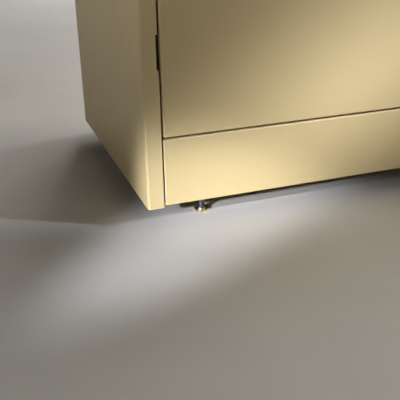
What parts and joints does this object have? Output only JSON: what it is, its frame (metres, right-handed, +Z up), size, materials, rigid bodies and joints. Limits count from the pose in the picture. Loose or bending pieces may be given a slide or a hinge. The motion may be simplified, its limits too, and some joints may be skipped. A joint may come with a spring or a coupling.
{
  "type": "lateral filing cabinet",
  "caption": "Low, wide sheet-steel filing cabinet with full-width drawers on telescoping slides, a plain base panel and screw-in levelling glides.",
  "frame": {"origin": "on the floor, at the centre of the overall footprint", "axes": "+Z up, +Y to the cabinet's back, so the drawers open towards -Y, and +X to the right of someone facing the front"},
  "size_m": [0.9144, 0.4928, 0.749],
  "materials": {
    "case_paint": "semi-gloss putty powder coat with a fine orange peel",
    "bright_zinc": "bright zinc plate",
    "glide_foot_zinc": "yellow zinc plate",
    "slide_zinc": "zinc plate",
    "ball_steel": "polished",
    "ballast_paint": "black paint",
    "lock_chrome": "polished chrome",
    "label_plastic": "painted to match",
    "label_card": "blank card",
    "rubber": "matt",
    "nylon": "natural nylon"
  },
  "bodies": {
    "case": {"left_side_panel": "case_paint", "right_side_panel": "case_paint", "back_panel": "case_paint", "top_cap": "case_paint", "bottom_pan": "case_paint", "toe_panel": "case_paint", "front_base_channel": "case_paint", "rear_base_channel": "case_paint", "counterweight": "ballast_paint", "counterweight_bolts": "bright_zinc", "slide_uprights": "case_paint", "slide_screws": "bright_zinc", "glide_nuts": "bright_zinc", "back_rivets": "case_paint", "drawer_bumpers": "rubber", "lock_housing": "lock_chrome", "lock_bar_guides": "nylon", "lower_slide_outer": "slide_zinc", "upper_slide_outer": "slide_zinc"},
    "lock_plug": {"lock_plug": "lock_chrome", "lock_cam": "slide_zinc"},
    "lock_bar": {"lock_bar": "slide_zinc"},
    "front_left_glide": {"front_left_glide_foot": "glide_foot_zinc", "front_left_glide_stem": "bright_zinc"},
    "front_right_glide": {"front_right_glide_foot": "glide_foot_zinc", "front_right_glide_stem": "bright_zinc"},
    "rear_left_glide": {"rear_left_glide_foot": "glide_foot_zinc", "rear_left_glide_stem": "bright_zinc"},
    "rear_right_glide": {"rear_right_glide_foot": "glide_foot_zinc", "rear_right_glide_stem": "bright_zinc"},
    "lower_drawer": {"lower_drawer_front": "case_paint", "lower_pull_channel": "case_paint", "lower_front_liner": "case_paint", "lower_front_screws": "bright_zinc", "lower_label_holder": "label_plastic", "lower_label_card": "label_card", "lower_drawer_floor": "case_paint", "lower_drawer_side_left": "case_paint", "lower_drawer_side_right": "case_paint", "lower_drawer_back": "case_paint", "lower_hang_rails": "slide_zinc", "lower_lock_catch": "slide_zinc", "lower_slide_inner": "slide_zinc"},
    "lower_slide_middle": {"lower_slide_middle": "slide_zinc", "lower_slide_balls": "ball_steel"},
    "upper_drawer": {"upper_drawer_front": "case_paint", "upper_pull_channel": "case_paint", "upper_front_liner": "case_paint", "upper_front_screws": "bright_zinc", "upper_label_holder": "label_plastic", "upper_label_card": "label_card", "upper_drawer_floor": "case_paint", "upper_drawer_side_left": "case_paint", "upper_drawer_side_right": "case_paint", "upper_drawer_back": "case_paint", "upper_hang_rails": "slide_zinc", "upper_lock_catch": "slide_zinc", "upper_slide_inner": "slide_zinc"},
    "upper_slide_middle": {"upper_slide_middle": "slide_zinc", "upper_slide_balls": "ball_steel"}
  },
  "joints": [
    {"name": "lower_drawer_slide", "type": "slide", "parent": "case", "child": "lower_drawer", "axis": [0, -1, 0], "range_m": [0, 0.4]},
    {"name": "lower_middle_slide", "type": "slide", "parent": "case", "child": "lower_slide_middle", "axis": [0, -1, 0], "range_m": [0, 0.2]},
    {"name": "upper_drawer_slide", "type": "slide", "parent": "case", "child": "upper_drawer", "axis": [0, -1, 0], "range_m": [0, 0.4]},
    {"name": "upper_middle_slide", "type": "slide", "parent": "case", "child": "upper_slide_middle", "axis": [0, -1, 0], "range_m": [0, 0.2]},
    {"name": "lock_turn", "type": "hinge", "parent": "case", "child": "lock_plug", "pos_m": [0.42, -0.2439, 0.736], "axis": [0, -1, 0], "range_deg": [0, 90]},
    {"name": "lock_bar_lift", "type": "slide", "parent": "case", "child": "lock_bar", "axis": [0, 0, 1], "range_m": [0, 0.012]},
    {"name": "front_left_glide_height", "type": "slide", "parent": "case", "child": "front_left_glide", "axis": [0, 0, 1], "range_m": [0, 0.022]},
    {"name": "front_right_glide_height", "type": "slide", "parent": "case", "child": "front_right_glide", "axis": [0, 0, 1], "range_m": [0, 0.022]},
    {"name": "rear_left_glide_height", "type": "slide", "parent": "case", "child": "rear_left_glide", "axis": [0, 0, 1], "range_m": [0, 0.022]},
    {"name": "rear_right_glide_height", "type": "slide", "parent": "case", "child": "rear_right_glide", "axis": [0, 0, 1], "range_m": [0, 0.022]}
  ],
  "couplings": [
    {"joint": "lower_middle_slide", "follows": "lower_drawer_slide", "ratio": 0.5},
    {"joint": "upper_middle_slide", "follows": "upper_drawer_slide", "ratio": 0.5},
    {"joint": "lock_turn", "follows": "lock_bar_lift", "rad_per_m": 130.89}
  ]
}
